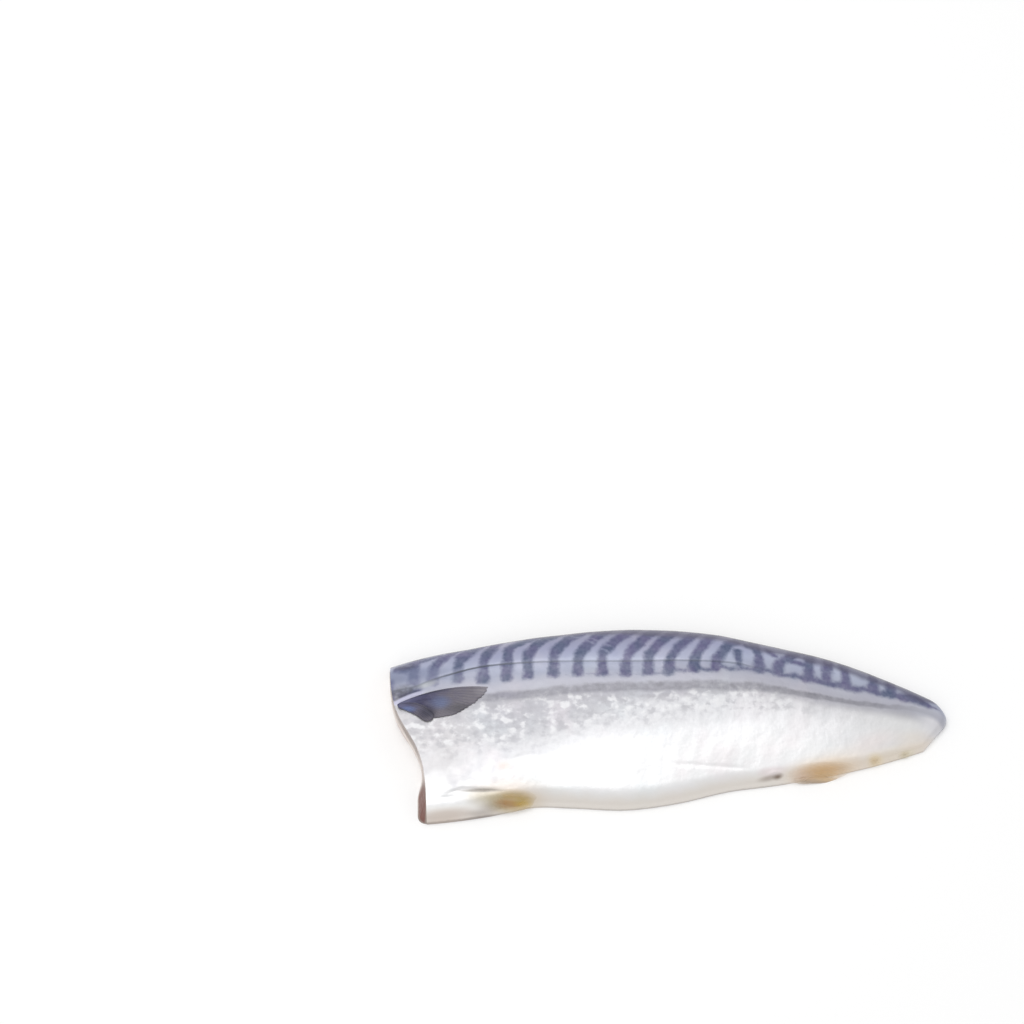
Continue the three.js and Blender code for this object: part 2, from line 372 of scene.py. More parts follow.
def relief(form, up):
    """How far the skin stands out of the plain form: broad dents and small ripples, faint folds over the
    muscle segments, the groove of the lateral line, creases that fade at their ends, and the vent with its
    raised ring."""
    x, y = form[..., 0], form[..., 1]
    out = RELIEF["dents"] * waves(x, y * 1.4, 34, seed=21, octaves=2)
    out += RELIEF["ripples"] * waves(x, y * 1.5, 6, seed=4, octaves=2)
    chevron = x + 9 * np.abs(np.tanh((up + 1) / 14)) + 4 * np.abs(np.tanh((up + 22) / 6))
    folds = np.sin(2 * np.pi * chevron / SEGMENT) * ease(y - through(BELLY_LINE, x), 2, 9)
    out += RELIEF["folds"] * folds
    out -= RELIEF["groove"] * bell(y - through(LATERAL_LINE, x), 0.45) * ease(x, 38, 26)
    for depth, width, line in FOLD_LINES:
        start, end = line[0][0], line[-1][0]
        fade = (end - start) / 3
        along = ease(x, start - 1, start + fade) * ease(x, end + 1, end - fade)
        out -= depth * along * bell(y - through(line, x), width)
    off_vent = np.hypot((x - VENT["centre"][0]) / VENT["size"][0], (y - VENT["centre"][1]) / VENT["size"][1])
    out += VENT["depth"] * (0.6 * bell(off_vent - 1.1, 0.5) - bell(off_vent, 0.8))
    return out * ease(form[..., 2], 0, 1.5)


def skin_side(along, across):
    """The skin side with its relief, and how far each point lies above the foot of the bars."""
    form = skin_form(along, across)
    up = above(form, FOOT_LINE)
    return moved_out(form, relief(form, up)), up


def flesh_sheets():
    """The muscle under the skin: its top, just over half way into the skin's thickness; the wall of the head
    cut, from the top's edge down to a foot that stands out, with flaked layers; and the cut side, flat on the
    table but for shallow hollows. The fields are the share of the way from back to belly, and the depth below
    the plain form of the skin."""
    along, across, down = FLESH_GRID
    s, t = np.meshgrid(steps(along, 0.6), steps(across, 0.9), indexing="ij")
    top = moved_out(skin_side(s[:, 0], t[0])[0], np.full(s.shape, -FLESH_IN_SKIN * SKIN_THICKNESS))
    base = top.copy()
    base[..., 0] -= head_foot(t) * (1 - s) ** FOOT_FADE
    x, y = base[..., 0], base[..., 1]
    inside = ease(np.minimum(t, 1 - t), 0, 0.06) * ease(s, 0, 0.02) * ease(s, 1, 0.98)
    hollows = HOLLOWS["depth"] * inside * (1 + waves(x, y, HOLLOWS["size"], seed=3))
    base[..., 2] = np.maximum(hollows, 0)
    fall = np.linspace(0, 1, down + 1)[:, None]
    wall = mix(top[0], base[0], fall[..., None])
    flakes = FLAKES["depth"] * waves(wall[..., 1] * 1.6, wall[..., 2] * 2.5, FLAKES["size"], seed=8)
    wall[..., 0] += flakes * np.sin(np.pi * fall) * ease(top[0, :, 2], 0, 2)
    sheets = []
    for sheet, strip in ((top, t), (wall, t[0] + 0 * fall), (base, t)):
        ceiling = skin_height(np.maximum(sheet[..., 0], head_cut(strip)), strip)
        sheets.append(with_fields(sheet, strip, np.maximum(ceiling - sheet[..., 2], 0)))
    return sheets


def flesh_paint():
    """Pale pink muscle, streaked along its folded segments and browner close under the skin. The cut side has
    the dark band of the lateral muscle and a row of cut bones along its middle, and the head end of the belly
    flap is dark above a pale lip."""
    paint = Paint("mackerel_flesh")
    strip, depth = paint.field("strip"), paint.field("depth")
    uneven = paint.noise(5.0)
    fold = (paint.x + abs(strip - MIDLINE) * 30 + uneven * 0.5) / SEGMENT
    line = abs(fold.math("FRACT", fold) - 0.5).ease(0.1, 0.0)
    colour = paint.blend(uneven.ease(-1.0, 1.0), tone(236, 222, 214), tone(243, 234, 228))
    colour = paint.blend(line * 0.5, colour, tone(214, 186, 176))
    cut_side = paint.z.ease(0.6, 0.2)
    lateral = (abs(strip - MIDLINE) + uneven * 0.01).ease(0.1, 0.03) * cut_side
    colour = paint.blend(lateral * 0.75, colour, tone(158, 108, 98))
    every_bone = paint.x / BONE_SPACING
    bones = abs(every_bone.math("FRACT", every_bone) - 0.5).ease(0.2, 0.0)
    bones = bones * abs(strip - BONE_LINE).ease(0.012, 0.0)
    colour = paint.blend(bones * cut_side * paint.x.ease(20.0, 0.0) * 0.6, colour, tone(250, 244, 236))
    paler_flap = strip.ease(0.58, 0.66) * strip.ease(0.82, 0.74) * 0.45
    under_skin = (depth + uneven * 0.4).ease(8.5, 3.5) * (1.0 - paler_flap)
    colour = paint.blend(under_skin * 0.95, colour, tone(142, 124, 114))
    flap = strip.ease(0.76, 0.84) * paint.x.ease(-80.0, -86.0) * depth.ease(0.5, 1.0)
    colour = paint.blend(flap * paint.z.ease(0.3, 1.1) * 0.9, colour, tone(116, 66, 54))
    rough = uneven.ease(-1.0, 1.0) * 0.15 + 0.32
    return paint.finish(
        Base_Color=colour, Roughness=rough, Coat_Weight=0.35, Coat_Roughness=0.12,
        Normal=paint.bump(paint.noise((2.5, 0.8, 0.8), 3.0) * 0.5 + line, 0.12),
    )


flesh = piece("flesh", flesh_sheets(), ("strip", "depth"))
flesh.data.materials.append(flesh_paint())
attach(flesh, "root")
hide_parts("fillet")


# ---------- the skin ----------
# A thin wet skin over the whole rounded side, cut off square at the head. Its back is slate blue with dark
# bars, its side silver with a grey band and pale flecks, and its belly is white, with a beige cut edge.
# Painted shade lies along the back and belly edges, in creases and by the head cut, with a painted highlight
# on a fold at the head.
SKIN_GRID = (400, 118)
GREY_BAND = [  # its middle in plan
    (-104, 6.4), (-65, 7.1), (-47, 8.6), (-32, 10.2), (-10, 11.1), (20, 11.8), (34, 11.4), (49, 9.5),
    (64, 7.1), (72, 6.0), (79, 5.6), (86, 5.2), (92, 4.8), (95.5, 4.2), (99, 3.0), (102, 0.9), (105, -2.2),
]
CROWN_LINE = [  # the dark of the back's top: how far above the foot of the bars it starts
    (-104, 24), (-60, 19.5), (-20, 18.3), (9, 14.8), (21, 13.0), (30, 11.0), (41, 8.8), (46, 9.2), (57, 7.9),
    (63, 7.6), (70, 6.0), (79, 4.4), (85, 3.2), (89, 1.6), (95, 0.8), (99, 3.0), (106, 8.0),
]
BARS = [  # the foot of each bar along X, how high it bends, and how far it then leans tailwards for its rise
    (-93.5, 9, 0.25), (-86.5, 7.5, 0.85), (-77.2, 8.8, 0.8), (-68, 9, 0.5), (-59, 14, 1.7),
    (-51.2, 11.5, 1.05), (-41.8, 10.5, 0.98), (-32.8, 8.5, 0.8), (-23.9, 9.5, 0.97), (-15.2, 7.8, 0.88),
    (-6.8, 8.5, 0.93), (0.9, 6.3, 0.88), (10, 5.5, 0.67), (18.3, 5.2, 0.85), (34.3, 8, -0.2),
    (40.8, 4.2, 0.9), (52.4, 4, 0.15), (59.4, 5, 0.15), (66.4, 8, 0), (76.4, 3, 0.1), (83.1, 3, 0.1),
]
STROKES = [  # dark strokes that join no foot: both ends as X and height above the foot line, and half width
    ((27.0, 3.4), (26.8, 8.2), 1.5), ((-99.6, 8.2), (-96.3, 7.6), 1.9), ((-95, 11.4), (-80.5, 14.6), 1.3),
    ((43.5, 8.2), (51.5, 7.4), 1.3), ((38.1, 11.7), (40.5, 8.8), 1.1), ((30, 12.5), (33.5, 11.5), 1.3),
    # the two strokes on the next line, by the head cut, are painted shadow above the pale fold over the
    # pectoral fin's root
    ((-102.2, 1.5), (-101.6, -4.4), 1.5), ((-98.5, -3.0), (-91.8, -1.9), 1.25),
    ((-76.5, 12.5), (-73.5, 15.5), 2.0),
]
SCRATCHES = [  # light lines across the bars, given like the strokes
    ((-35.2, 19.2), (-21.6, 10.3), 0.1), ((-28.1, 16.8), (-20.9, 12.4), 0.0),
]
BAR_HALF_WIDTH = [(0, 2.25), (2.5, 2.1), (5, 1.85), (12, 1.95), (24, 2.3)]  # over the height
BEND_SOFTNESS = 1.2
BAR_WAVER = dict(along=0.5, up=0.4)  # how far the markings' borders wander
FOOT_BAND_PATH = dict(height=1.3, wave=0.3, wave_length=9)
LOWEST_INK = -3
FOOT_BAND = [  # half the width of the dark band along the feet, below 0 where there is none
    (-104, -1.5), (-42, -1.0), (-30, -0.1), (-18, -0.4), (0, 0.2), (10, 0.5), (35, 0.6), (47, 0.9), (55, 1.3),
    (66, 1.3), (76, 1.15), (84, 1.5), (93, 1.9), (98, 1.0), (102, -0.6), (106, -3.0),
]


def off_stroke(x, up, start, end):
    """The distance to the nearest point of the straight line between start and end."""
    run = np.subtract(end, start)
    share = np.clip(((x - start[0]) * run[0] + (up - start[1]) * run[1]) / (run @ run), 0, 1)
    return np.hypot(x - start[0] - share * run[0], up - start[1] - share * run[1])


def bar_ink(x, up):
    """How far inside the dark markings each point is, in mm, below 0 outside: half a marking's width less the
    distance to its centre line. A bar's line stands upright, then leans; its foot is a rounded square. A wavy
    band along the feet widens towards the tail. Scratches are cut out of the markings."""
    x = x + BAR_WAVER["along"] * waves(x, up, 9, seed=11, octaves=2)
    up = up + BAR_WAVER["up"] * waves(x, up, 8, seed=12, octaves=2)
    half = through(BAR_HALF_WIDTH, up)
    swing = FOOT_BAND_PATH["wave"] * np.sin(2 * np.pi * x / FOOT_BAND_PATH["wave_length"])
    ink_and_shade = through(FOOT_BAND, x) - np.abs(up - FOOT_BAND_PATH["height"] - swing)
    for foot, bend, lean in BARS:
        past = (up - bend) / BEND_SOFTNESS
        centre = foot + lean * BEND_SOFTNESS * np.logaddexp(0, past)
        slope = lean / (1 + np.exp(-past))
        square = (np.abs(x - foot) ** 3 + np.abs(up - half) ** 3) ** (1 / 3)
        beside = np.where(up > half, np.abs(x - centre) / np.hypot(1, slope), square)
        ink_and_shade = np.maximum(ink_and_shade, half - beside)
    for start, end, half_stroke in STROKES:
        ink_and_shade = np.maximum(ink_and_shade, half_stroke - off_stroke(x, up, start, end))
    for start, end, half_stroke in SCRATCHES:
        ink_and_shade = np.minimum(ink_and_shade, off_stroke(x, up, start, end) - half_stroke)
    return np.maximum(ink_and_shade, LOWEST_INK)


def skin_sheets():
    """The outer and inner face of the skin, a skin's thickness apart, and the four strips that join their
    edges. The fields hold each point's height above the foot of the bars, depth inside the markings, height
    above the crown's lower edge, the lateral line and the grey band, and distance from the belly edge and
    from the back edge."""
    outer, up = skin_side(*(steps(count, bunching) for count, bunching in zip(SKIN_GRID, (0.5, 0.7))))
    x = outer[..., 0]
    down = across_from_back(outer)
    fields = (
        up, bar_ink(x, up), up - through(CROWN_LINE, x),
        above(outer, LATERAL_LINE), above(outer, GREY_BAND), down[:, -1:] - down, down,
    )
    inner = with_fields(moved_out(outer, np.full(x.shape, -SKIN_THICKNESS)), *fields)
    outer = with_fields(outer, *fields)
    sides = [(outer[:, 0], inner[:, 0]), (outer[:, -1], inner[:, -1])]
    ends = [(outer[0], inner[0]), (outer[-1], inner[-1])]
    return [outer, inner, *(np.stack(pair, axis=1) for pair in sides + ends)]


LOW, HIGH = -40.0, 26.0  # the ramp's ends: heights above the foot of the bars, as below
HEIGHT_TONES = [
    (24, tone(88, 90, 112)), (17, tone(144, 144, 170)), (12, tone(157, 159, 186)),
    (7, tone(170, 175, 197)), (2.5, tone(153, 157, 176)), (-1.5, tone(171, 171, 184)),
    (-8, tone(160, 159, 166)), (-13, tone(170, 170, 175)), (-17, tone(186, 186, 190)),
    (-21, tone(202, 202, 205)), (-26, tone(222, 222, 224)), (-33, tone(232, 232, 233)),
]
BELLY_STAINS_AND_SHADE = [  # stains, and painted shade along the belly edge and in creases: the share of the colour, the colour, and the oval: its centre, size, turn and hardness
    (0.6, tone(230, 212, 192), (62, -16.8), (26, 7.8), 0.2, 0.0),  # round the anal fin
    (0.6, tone(228, 202, 166), (57, -18.4), (20, 5.6), 0.13, 0.0),
    (0.35, tone(230, 212, 184), (84, -13), (15, 5.5), 0.25),  # along the belly edge near the tail
    (0.35, tone(230, 214, 196), (92, -7.5), (11, 6)),
    (0.35, tone(230, 212, 208), (76, -8.0), (14, 5.5), 0.3, 0.0),
    (0.5, tone(228, 208, 168), (76.5, -14.5), (4.5, 3.5)),
    (0.4, tone(212, 206, 176), (88.5, -11.5), (4.5, 1.8), 0.25),
    (0.75, tone(218, 204, 190), (-57, -28), (22, 7.5), 0.0, 0.0),  # round the pelvic fin
    (0.75, tone(190, 180, 156), (-66, -29.8), (12, 5.0), 0.0, 0.0),
    (0.6, tone(204, 182, 134), (-56, -30.5), (13, 4.8), 0.0, 0.0),
    (0.5, tone(168, 154, 138), (-64, -33), (8, 2.4), 0.08),
    # painted shadow along the belly edge
    (0.5, tone(140, 126, 118), (-69, -35.0), (8, 1.8), 0.08, 0.0),
    (0.65, tone(198, 180, 166), (-82, -36), (17, 3.2), 0.12),
    # painted shade in the crease above the pelvic fin
    (0.75, tone(108, 100, 92), (-68.5, -27.35), (11.5, 0.9), 0.01),
    # painted shade in a wrinkle of the belly near the head
    (0.4, tone(128, 128, 128), (-80.5, -29.3), (4.5, 0.8), 0.12),
    (0.4, tone(228, 200, 184), (-60, -18.5), (4, 2.5)),
    (0.4, tone(224, 204, 206), (38.0, -19.4), (7.0, 2.4), 0.15),  # round the vent
    (0.55, tone(140, 122, 110), (37.0, -21.6), (6.0, 1.3), 0.2, 0.1),
    (0.85, tone(112, 92, 76), VENT["centre"], (2.8, 1.3), 0.25, 0.0),
]


def skin_paint():
    """The skin's colours from its fields: a ramp over height, washes for the head, tail and edges, then the
    flecks, the grey band,
    the stain spots, the bars, the crown and the lateral line, all with soft uneven borders. Some of them are
    painted light:
    painted shade along the back and belly edges, in creases and by the head cut, lighter paint by the belly
    flap against the rolled edge's shade, and a painted highlight on the fold at the head."""
    paint = Paint("mackerel_skin")
    up, ink_and_shade, crown, lateral = (paint.field(name) for name in ("up", "ink_and_shade", "crown", "lateral"))
    band, lip, back = (paint.field(name) for name in ("band", "lip", "back"))
    broad, uneven, fine = paint.noise(15.0), paint.noise(7.0), paint.noise(1.6)
    stops = [((height - LOW) / (HIGH - LOW), shade) for height, shade in HEIGHT_TONES]
    side = up - (paint.x * 0.1 + paint.x.ease(-50.0, -15.0) * 3.0) * up.ease(-8.0, -16.0)
    colour = paint.node("ValToRGB", dict(stops=stops), {0: (side + uneven * 0.8 - LOW) / (HIGH - LOW)})

    def wash(share, shade):
        return paint.blend(share, colour, shade)

    below = up.ease(-6.0, -16.0)
    colour = wash(broad.ease(0.1, 0.9) * (below * 0.1 + 0.1), tone(236, 220, 224))
    colour = wash(broad.ease(-0.1, -0.9) * (below * 0.1 + 0.1), tone(212, 224, 228))
    shaded = (uneven + broad).ease(0.2, 1.4) * below * paint.x.ease(-25.0, -60.0)
    colour = wash(shaded * 0.5, tone(186, 187, 194))
    lit = paint.x.ease(22.0, 48.0) * up.ease(-6.0, -10.0) * up.ease(-26.0, -16.0)
    colour = wash(lit * 0.55, tone(222, 221, 223))
    colour = wash(paint.x.ease(55.0, 90.0) * up.ease(-4.0, -10.0) * 0.85, tone(219, 219, 219))
    head_grey = paint.x.ease(-62.0, -84.0) * up.ease(-5.0, -12.0) * up.ease(-48.0, -26.0)
    colour = wash(head_grey * (uneven * 0.3 + 0.6), tone(186, 183, 184))

    speckle = paint.noise((3.4, 2.6, 2.6), 3.0)
    bright = paint.x.ease(-25.0, 0.0) * paint.x.ease(45.0, 28.0)
    bright = bright * up.ease(-7.0, -10.0) * up.ease(-21.0, -15.0)
    colour = wash(bright * 0.6, tone(206, 206, 209))
    along, over = paint.x / 3.0 + uneven * 0.4, up / 2.7 + fine * 0.12
    fleck_place = paint.node("CombineXYZ", {}, {0: along, 1: over, 2: 0.0})
    blobs = paint.node(
        "TexVoronoi", dict(feature="SMOOTH_F1"), {"Vector": fleck_place, "Scale": 1.0, "Smoothness": 0.35},
    )
    fleck_zone = (up + uneven).ease(-4.5, -7.5) * (side + uneven * 2).ease(-25.0, -15.0)
    fleck_zone = fleck_zone * paint.x.ease(66.0, 35.0)
    white = (blobs.ease(0.75, 0.15) * 0.75 + speckle * 0.9 - 0.15).ease(0.0, 1.0)
    colour = wash(fleck_zone * speckle.ease(0.1, -0.7) * 0.55, tone(150, 149, 155))
    colour = wash(fleck_zone * white * 0.75, tone(210, 210, 212))

    thin = paint.x.ease(20.0, 75.0) * 0.9 + 1.0
    grey_share = (abs(band + uneven * 0.35 + speckle * 0.4) * thin).ease(2.7, 0.8)
    grey_share = grey_share * paint.x.ease(-78.0, -66.0) * paint.x.ease(112.0, 60.0)
    colour = wash(grey_share * (speckle * -0.25 + uneven * 0.14 + fine * 0.1 + 0.8), tone(124, 123, 132))
    colour = wash(paint.spot((-59.5, 8.0), (9, 2.3), 0.03, 0.0) * 0.45, tone(104, 102, 122))
    tail_side = paint.x.ease(90.0, 98.0) * (band + uneven * 0.3).ease(-0.8, -3.0)
    colour = wash(tail_side * 0.8, tone(214, 213, 217))

    by_flap = paint.x.ease(-58.0, -70.0)
    # painted light: lighter near the belly flap's head end, against the shade of the rolled belly edge
    colour = wash(by_flap * lip.ease(9.0, 6.0) * 0.9, tone(248, 246, 243))
    # the belly edge's own beige, together with painted shade of its rolled-down edge
    colour = wash((lip + uneven * 0.8 + by_flap * 4).ease(9.5, 3.5) * 0.7, tone(226, 217, 206))
    # painted shadow: a thin dark line along the belly edge where it meets the table, fainter under the anal
    # fin
    belly_edge_shadow = (by_flap * 0.4 + 0.35) * (1.0 - paint.spot((57, -21), (15, 4.5), 0.15, 0.6))
    colour = wash((lip + fine * 0.2 - by_flap * 0.8).ease(1.5, 0.2) * belly_edge_shadow, tone(112, 102, 98))
    for share, shade, *oval in BELLY_STAINS_AND_SHADE:
        colour = wash(paint.spot(*oval) * share, shade)

    colour = wash((uneven * 0.5 + 0.5) * up.ease(-1.0, 3.0) * 0.2, tone(150, 160, 196))
    bars = (ink_and_shade + fine * 0.3 + uneven * 0.15).ease(-1.15, 0.95)
    bar_colour = paint.blend(uneven.ease(-0.8, 0.8), tone(68, 60, 110), tone(58, 72, 106))
    darker = up.ease(8.0, 1.0) * paint.x.ease(30.0, 0.0) * 0.1
    faded = paint.x.ease(-64.0, -78.0) * up.ease(-1.0, 1.0) * up.ease(7.5, 5.5) * 0.18
    colour = wash(bars * (fine * 0.1 + uneven * 0.06 + darker + 0.81 - faded), bar_colour)
    crown_share = (crown + uneven * 1.0).ease(-0.8, 2.2)
    colour = wash(crown_share * 0.75, tone(78, 74, 100))
    # painted shade: darker along the back edge, where the skin rolls down away from the light
    back_edge_shade = (back + fine * 0.2).ease(8.0, 5.6) * (paint.x.ease(92.0, 50.0) * 0.6 + 0.4)
    colour = wash(back_edge_shade * 0.65, tone(84, 80, 76))
    lateral_share = abs(lateral + fine * 0.08).ease(0.65, 0.12) * paint.x.ease(44.0, 20.0)
    colour = wash(lateral_share * (paint.x.ease(-40.0, -75.0) * 0.4 + 0.42), tone(54, 60, 72))
    head_cells = paint.x.ease(-74.0, -94.0) * up.ease(-4.0, -1.0) * up.ease(9.0, 6.0)
    colour = wash(head_cells * 0.5, tone(104, 112, 146))
    colour = wash(paint.spot((-97, 20.8), (5.5, 2.6), 0.1) * 0.7, tone(56, 52, 84))
    colour = wash(paint.spot((-88.5, 12.4), (6, 1.7), 0.3) * 0.5, tone(178, 182, 180))
    head_dark = paint.spot((-97.5, 9.4), (8.5, 3.8), 0.25)
    colour = wash(head_dark * (fine * 0.3 + 0.75), tone(62, 64, 78))
    # painted highlight along the raised fold over the pectoral fin's root
    colour = wash(paint.spot((-95.6, 7.0), (8.2, 1.35), 0.41, 0.6) * 0.95, tone(172, 172, 196))

    grain_place = paint.vector("DIVIDE", paint.place, (1.1, 0.8, 0.8))
    grain = paint.node("TexVoronoi", {}, {"Vector": grain_place, "Scale": 1.0})
    silver = up.ease(2.0, -12.0)
    return paint.finish(
        Base_Color=colour, Metallic=silver * 0.2 + 0.05, Roughness=fine * 0.05 + 0.36 + bars * 0.06,
        Coat_Weight=0.4, Coat_Roughness=0.14,
        Normal=paint.bump(grain * 0.15 + fine * 0.2 + white * fleck_zone * 0.3, 0.07),
    )


skin = piece("skin", skin_sheets(), ("up", "ink_and_shade", "crown", "lateral", "band", "lip", "back"))
skin.data.materials.append(skin_paint())
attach(skin, "root")
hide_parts("fillet")


# ---------- the pectoral fin ----------
# The fin behind the gill opening, pressed flat on the side: a dark fan of soft rays in a thin membrane, which
# grows out of a fleshy base at the head cut. A short darker lobe lies folded over its lower rays, near black,
# partly with painted shade, and a painted highlight lies near the root.
PECTORAL = dict(  # bow and thickness are given at both ends: of the fan, and of a ray
    root=[(-99.5, 4.4), (-98.8, 3.2)], rays=16, bow=(2.6, 1.4), thickness=(1.0, 0.2), gap=0.2, ragged=0.01,
    margin=[
        (-65.8, 10.9), (-66.5, 9.2), (-68.4, 7.0), (-70.4, 5.0), (-72.8, 3.6), (-75.4, 1.8), (-78.4, 0.3),
        (-82.0, -0.4), (-84.8, -0.8), (-87.0, -1.0),
    ],
)
LOBE = dict(
    root=[(-99.4, 4.0), (-99.1, 3.0)], rays=5, bow=(2.3, 0.5), thickness=(1.0, 0.4), gap=0.7, ragged=0,
    margin=[(-86.2, 0.9), (-85.8, -0.4), (-86.3, -1.4), (-87.1, -2.1), (-88.6, -2.3), (-90.4, -1.5)],
)
FIN_GRID = (90, 8)  # along a ray, and across each ray
FIN_SHOULDER = 0.25  # the share of the belly edge's roll past which a fin hangs straight
FIN_EDGE = 0.06  # the share of the fin over which its thickness rounds off
RAY_DEPTH = 0.35  # of the fin's thickness
LIFT = 0.15  # how far the margin lifts
CROSS_JOINTS = 26  # along a ray


def under_fin(x, y):
    """The height of the skin under a point in plan and, past the shoulder of the belly edge, of the straight
    line down along the tangent at that shoulder."""
    back, belly = through(BACK_LINE, x), through(BELLY_LINE, x)
    t = (back - y) / (back - belly)
    left = 1 - FIN_SHOULDER
    foot = FIN_SHOULDER - (1 - left**ROLL_POWER) / left ** (ROLL_POWER - 1)
    hang = np.clip(((1 - t) / BELLY_ROLL - foot) / (FIN_SHOULDER - foot), 0, 1)
    return skin_height(x, np.clip(t, 0, 1 - BELLY_ROLL * FIN_SHOULDER)) * hang


def fan_sheets(fin, seed, first=0):
    """Both faces of a fin spread like a fan. Each ray runs from the root line to the margin, bowed by a
    parabola. The under face lies a gap above the skin and lifts a little at the ragged margin; the over face
    stands above it by the fin's thickness, ridged along the rays, and meets it round the outline. The fields
    are the ray's number, the share of its length, and the share of the fan, counted from first."""
    along, across = FIN_GRID
    a, j = np.meshgrid(np.linspace(0, 1, along), np.linspace(0, 1, across * fin["rays"] + 1), indexing="ij")
    margin = np.array(fin["margin"], float)
    walked = np.pad(np.cumsum(np.linalg.norm(np.diff(margin, axis=0), axis=1)), (1, 0))
    walked /= walked[-1]
    edge = np.stack([through(np.column_stack([walked, margin[:, axis]]), j) for axis in (0, 1)], axis=-1)
    root = mix(*(np.array(point, float) for point in fin["root"]), j[..., None])
    ridge = 0.5 + 0.5 * np.cos(2 * np.pi * fin["rays"] * j)
    reach = a * (1 - fin["ragged"] * (1 - ridge + np.abs(waves(j * 40, 0 * j, 13, seed))))
    run = edge - root
    side = np.stack([-run[..., 1], run[..., 0]], axis=-1) / np.linalg.norm(run, axis=-1, keepdims=True)
    bow = mix(*fin["bow"], j) * 4 * reach * (1 - reach)
    plan = root + run * reach[..., None] + side * bow[..., None]
    x, y = plan[..., 0], plan[..., 1]
    under = under_fin(x, y) + fin["gap"] + LIFT * a**3 * (1 + waves(x, y, 7, seed))
    rim = roll(np.minimum(j, 1 - j) / FIN_EDGE) * roll(a / FIN_EDGE) * roll((1 - a) / FIN_EDGE)
    thickness = mix(*fin["thickness"], a**0.6) * (1 - RAY_DEPTH * (1 - ridge) * ease(a, 0.1, 0.4))
    return [
        with_fields(np.stack([x, y, under + over], axis=-1), j * fin["rays"], a, j + first)
        for over in (thickness * rim, 0 * rim)
    ]


def fin_paint(name, root, tip, line, edge, tints, seen=()):
    """Membrane that turns from the root's colour to the tip's, faint lines between the rays, fine cross
    joints in the rays, tints, which on the pectoral fin hold a painted highlight and painted shade, and the
    edge colour along the first rays and at the start of a lobe, which counts its share of the fan from 1. A
    pale fin shows only inside the soft ovals given as seen, each after its opacity."""
    paint = Paint(name)
    ray, reach, fan = (paint.field(field) for field in ("ray", "reach", "fan"))
    uneven, fine = paint.noise(3.5), paint.noise(0.9)
    colour = paint.blend((reach + uneven * 0.15).ease(0.1, 0.9), root, tip)
    for shade, share, centre, size in tints:
        colour = paint.blend(paint.spot(centre, size) * (uneven * 0.2 + 0.8) * share, colour, shade)
    between = abs(ray.math("FRACT", ray) - 0.5)
    colour = paint.blend(between.ease(0.3, 0.0) * reach.ease(0.05, 0.4) * 0.25, colour, line)
    leading = fan.ease(0.12, 0.02) * reach.ease(0.75, 0.4) + fan.ease(1.0, 1.01) * fan.ease(1.3, 1.1) * 0.6
    colour = paint.blend(leading * 0.8, colour, edge)
    every_joint = reach * CROSS_JOINTS
    joints = abs(every_joint.math("FRACT", every_joint) - 0.5)
    alpha = sum(paint.spot(*oval) * opacity for opacity, *oval in seen) if seen else 1.0
    return paint.finish(
        Base_Color=colour, Roughness=fine * 0.06 + 0.42, Specular_IOR_Level=0.3, Alpha=alpha,
        Coat_Weight=0.15, Coat_Roughness=0.16, Normal=paint.bump(joints * 0.3 + fine * 0.2, 0.05),
    )


pectoral_sheets = fan_sheets(PECTORAL, 31) + fan_sheets(LOBE, 34, first=1)
pectoral = piece("pectoral_fin_blade", pectoral_sheets, ("ray", "reach", "fan"))
pectoral_stains_and_light = [
    # the first spot on the next line is a painted highlight near the fin's root
    (tone(126, 146, 196), 0.7, (-95.2, 2.2), (3.6, 1.5)), (tone(98, 116, 160), 0.6, (-83.5, 5.0), (5.5, 3.6)),
    (tone(60, 58, 64), 0.75, (-76.5, 2.6), (7.5, 3.2)), (tone(144, 140, 146), 0.7, (-66.5, 9.6), (6.0, 4.0)),
    # the lobe's own dark colour, deepened with painted shade of the fin's fold
    (tone(26, 24, 52), 0.95, (-88.4, 0.9), (4.8, 3.8)),
]
pectoral.data.materials.append(fin_paint(
    "pectoral_fin", tone(80, 80, 114), tone(108, 103, 112), tone(72, 72, 96), tone(30, 28, 46),
    pectoral_stains_and_light,
))
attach(pectoral, "root")
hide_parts("pectoral_fin")


# ---------- the pelvic fin ----------
# The small fin at the belly edge, folded back along it: a few thick whitish rays in a pale membrane, stained
# ochre where they end.
PELVIC = dict(
    root=[(-71.6, -29.6), (-71.0, -31.6)], rays=7, bow=(1.8, -1.4), thickness=(0.4, 0.16), gap=0.08,
    ragged=0.03,
    margin=[
        (-59.8, -25.7), (-54.6, -25.8), (-50.2, -27.4), (-47.6, -30.1), (-49.8, -32.2), (-54.5, -33.7),
        (-61.5, -35.0),
    ],
)

pelvic = piece("pelvic_fin_blade", fan_sheets(PELVIC, 32), ("ray", "reach", "fan"))
pelvic_stains = [
    (tone(202, 176, 122), 0.9, (-56.0, -30.4), (12, 5.0)),
    (tone(188, 142, 92), 0.85, (-58.5, -31.6), (8, 2.2)),
    (tone(206, 176, 80), 0.95, (-52.6, -31.4), (5.5, 2.8)),
]
pelvic.data.materials.append(fin_paint(
    "pelvic_fin", tone(208, 202, 178), tone(212, 194, 154), tone(216, 202, 172), tone(188, 174, 154),
    pelvic_stains, [(0.62, (-57.4, -30.9), (11.5, 4.6), 0.05, 0.0)],
))
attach(pelvic, "root")
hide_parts("pelvic_fin")


